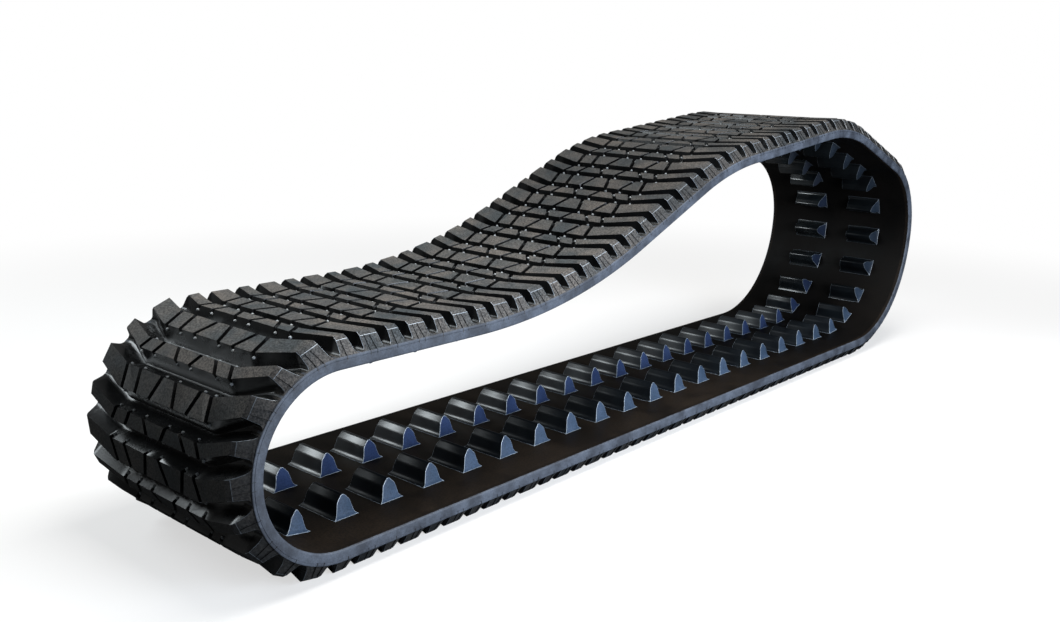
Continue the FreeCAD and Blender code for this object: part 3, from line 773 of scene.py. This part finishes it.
lugs = {
    "length": 0.0935, "rowGap": 0.080, "sink": 0.0008, "rounding": 0.0013,
    # half width along the belt, how far the ends are set back, height over the running side
    "steps": ((0.0265, -0.0030, 0.0000), (0.0246, -0.0022, 0.0008), (0.0220, -0.0010, 0.0024),
              (0.0202, 0.0004, 0.0042), (0.0190, 0.0013, 0.0064), (0.0180, 0.00195, 0.0095),
              (0.0178, 0.00211, 0.0103), (0.0148, 0.00456, 0.0222), (0.0146, 0.00472, 0.0230),
              (0.0141, 0.00513, 0.0250), (0.0133, 0.00554, 0.0270), (0.0120, 0.00595, 0.0290),
              (0.0115, 0.00606, 0.02955), (0.0051, 0.00752, 0.03665), (0.0046, 0.00763, 0.0372),
              (0.0032, 0.00785, 0.0383), (0.0012, 0.0080, 0.0390)),
    # ends and rounded edges take the pale colour fully: painted cool light and painted highlight over the
    # bloom
    "endBloomAndLight": 1.0, "flankBloom": 0.04,
}


def lugBloomAndLight(face):
    # an end face and the lip at its foot take the bloom, partly real and partly painted cool light; the
    # rounded edges take the full share of their pale painted highlight
    end = abs(face.normal.y) > max(0.35, abs(face.normal.x))
    return lugs["endBloomAndLight"] if end or face.material_index else lugs["flankBloom"]


def makeLug():
    # gothic section with a flared foot, drawn up in steps from its footprint
    halfLength = lugs["length"] / 2
    bm = bmesh.new()
    made = bmesh.ops.create_grid(bm, x_segments=1, y_segments=1, size=1.0)["verts"]
    bm.faces.ensure_lookup_table()
    face = bm.faces[0]
    width, back, height = lugs["steps"][0]
    bmesh.ops.scale(bm, verts=made, vec=(width, halfLength - back, 1))
    bmesh.ops.translate(bm, verts=made, vec=(0, 0, runningSide - lugs["sink"]))
    for nextWidth, nextBack, nextHeight in lugs["steps"]:
        face = drawUp(bm, face)
        rise = runningSide + nextHeight - face.verts[0].co.z
        bmesh.ops.translate(bm, verts=face.verts, vec=(0, 0, rise))
        bmesh.ops.scale(bm, verts=face.verts,
                        vec=(nextWidth / width, (halfLength - nextBack) / (halfLength - back), 1))
        width, back = nextWidth, nextBack
    bmesh.ops.recalc_face_normals(bm, faces=bm.faces)
    corners = [edge for edge in bm.edges
               if edge.is_manifold and edge.calc_face_angle_signed() > math.radians(35)
               and min(vert.co.z for vert in edge.verts) > runningSide]
    roundOff(bm, corners, lugs["rounding"], 2, 1)
    paintDustAndLight(bm, lugBloomAndLight)
    mesh = bpy.data.meshes.new("drive_lug")
    bm.to_mesh(mesh)
    bm.free()
    return mesh


lugMesh = makeLug()
rowMiddle = (lugs["rowGap"] + lugs["length"]) / 2
for stretch, (first, last) in stretches.items():
    # two copies of one rubber stand in for the light and shade on the two rows
    for row, side, skin in (("near", -1, nearLugPaintedLightRubber), ("far", 1, lugRubber)):
        stations = [bar * loop["pitch"] / 2 for bar in range(first + 1, last + 1) if bar % 2 == 0]
        bm = copyRound(lugMesh, stations, side * rowMiddle, False)
        piece = finishPiece(bm, "drive_lugs_moulded_%s_%s" % (row, stretch), [skin, edgeHighlightRubber],
                            "lug_rubber")
        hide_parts("drive_lugs_%s_%s" % (row, stretch))
        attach(piece, stretch)
print("drive lugs laid")


studio = {  # a white paper sweep, lifted to plain white between two distances, and the room's light
    "floorSize": 40.0, "floorColour": "#f6f6f5", "bounceColour": "#5c5c5c", "floorLift": 0.62,
    "liftNear": 1.2, "liftFar": 3.4, "ambient": 0.09,
}


def makeFloor():
    # white sweep of paper: white to the eye, it keeps the shadow and bounces little light
    bm = bmesh.new()
    bmesh.ops.create_grid(bm, x_segments=1, y_segments=1, size=studio["floorSize"] / 2)
    floor = addObject("floor", bm)
    material, tree = newMaterial("paper_floor")
    seen = addNode(tree, "LightPath").outputs["Is Camera Ray"]
    tone = addNode(tree, "Mix", {"Factor": seen, 6: hexColour(studio["bounceColour"]),
                                 7: hexColour(studio["floorColour"])}, data_type="RGBA")
    paper = addNode(tree, "BsdfDiffuse", {"Color": tone.outputs[2]})
    white = addNode(tree, "Emission", {"Color": (1, 1, 1, 1), "Strength": 1.0})
    place = addNode(tree, "TexCoord").outputs["Object"]
    away = addNode(tree, "VectorMath", {0: place}, operation="LENGTH")
    lift = addNode(tree, "MapRange", {"Value": away.outputs["Value"], "From Min": studio["liftNear"],
                                      "From Max": studio["liftFar"], "To Min": studio["floorLift"],
                                      "To Max": 1.0}, interpolation_type="SMOOTHSTEP")
    seenLift = addNode(tree, "Math", {0: seen, 1: lift.outputs[0]}, operation="MULTIPLY")
    shown = addNode(tree, "MixShader", {0: seenLift.outputs[0], 1: paper.outputs[0], 2: white.outputs[0]})
    addOutput(tree, shown)
    floor.data.materials.append(material)


def makeWorld():
    world = bpy.data.worlds.new("studio")
    bpy.context.scene.world = world
    world.use_nodes = True
    tree = world.node_tree
    tree.nodes.clear()
    path = addNode(tree, "LightPath")
    level = addNode(tree, "MapRange", {"Value": path.outputs["Is Camera Ray"], "To Min": studio["ambient"],
                                       "To Max": 1.0})
    sky = addNode(tree, "Background", {"Color": (1, 1, 1, 1), "Strength": level.outputs[0]})
    addNode(tree, "OutputWorld", {"Surface": sky.outputs[0]})


panels = {
    "overhead_panel": {"place": (0.0, -0.5, 2.5), "target": (0, 0, 0.3), "size": (2.2, 1.0),
                       "watts": 80, "colour": (1.0, 0.98, 0.95)},
    "far_panel": {"place": (-1.9, 2.2, 2.0), "target": (-0.5, 0, 0.1), "size": (1.7, 1.1),
                  "watts": 46, "colour": (0.88, 0.96, 1.0)},
    "near_panel": {"place": (-0.1, -1.9, 0.6), "target": (0, 0, 0.25), "size": (1.6, 0.8),
                   "watts": 72, "colour": (0.78, 0.87, 1.0)},
}


def addPanel(name, panel):
    lamp = bpy.data.lights.new(name, "AREA")
    lamp.shape = "RECTANGLE"
    lamp.size, lamp.size_y = panel["size"]
    lamp.energy = panel["watts"]
    lamp.color = panel["colour"]
    light = bpy.data.objects.new(name, lamp)
    bpy.context.scene.collection.objects.link(light)
    light.location = panel["place"]
    light.visible_camera = False
    aim = Vector(panel["target"]) - light.location
    light.rotation_euler = aim.to_track_quat("-Z", "Y").to_euler()


makeFloor()
makeWorld()
for name, panel in panels.items():
    addPanel(name, panel)

# the eye stands off the front bend and looks back along the belt
eye = {"place": (-1.9656, -1.463, 0.804), "right": (0.66286, -0.74848, 0.01992),
       "forward": (0.73197, 0.64218, -0.22766), "lens": 35.83, "sensor": 36.0}
camera = bpy.data.cameras.new("camera")
camera.lens = eye["lens"]
camera.sensor_width = eye["sensor"]
cameraObject = bpy.data.objects.new("camera", camera)
bpy.context.scene.collection.objects.link(cameraObject)
right = Vector(eye["right"]).normalized()
forward = Vector(eye["forward"]).normalized()
up = right.cross(forward)
axes = Matrix((right, up, -forward)).transposed().to_4x4()
cameraObject.matrix_world = Matrix.Translation(eye["place"]) @ axes
bpy.context.scene.camera = cameraObject
bpy.context.scene.view_settings.view_transform = "Standard"
print("studio set")
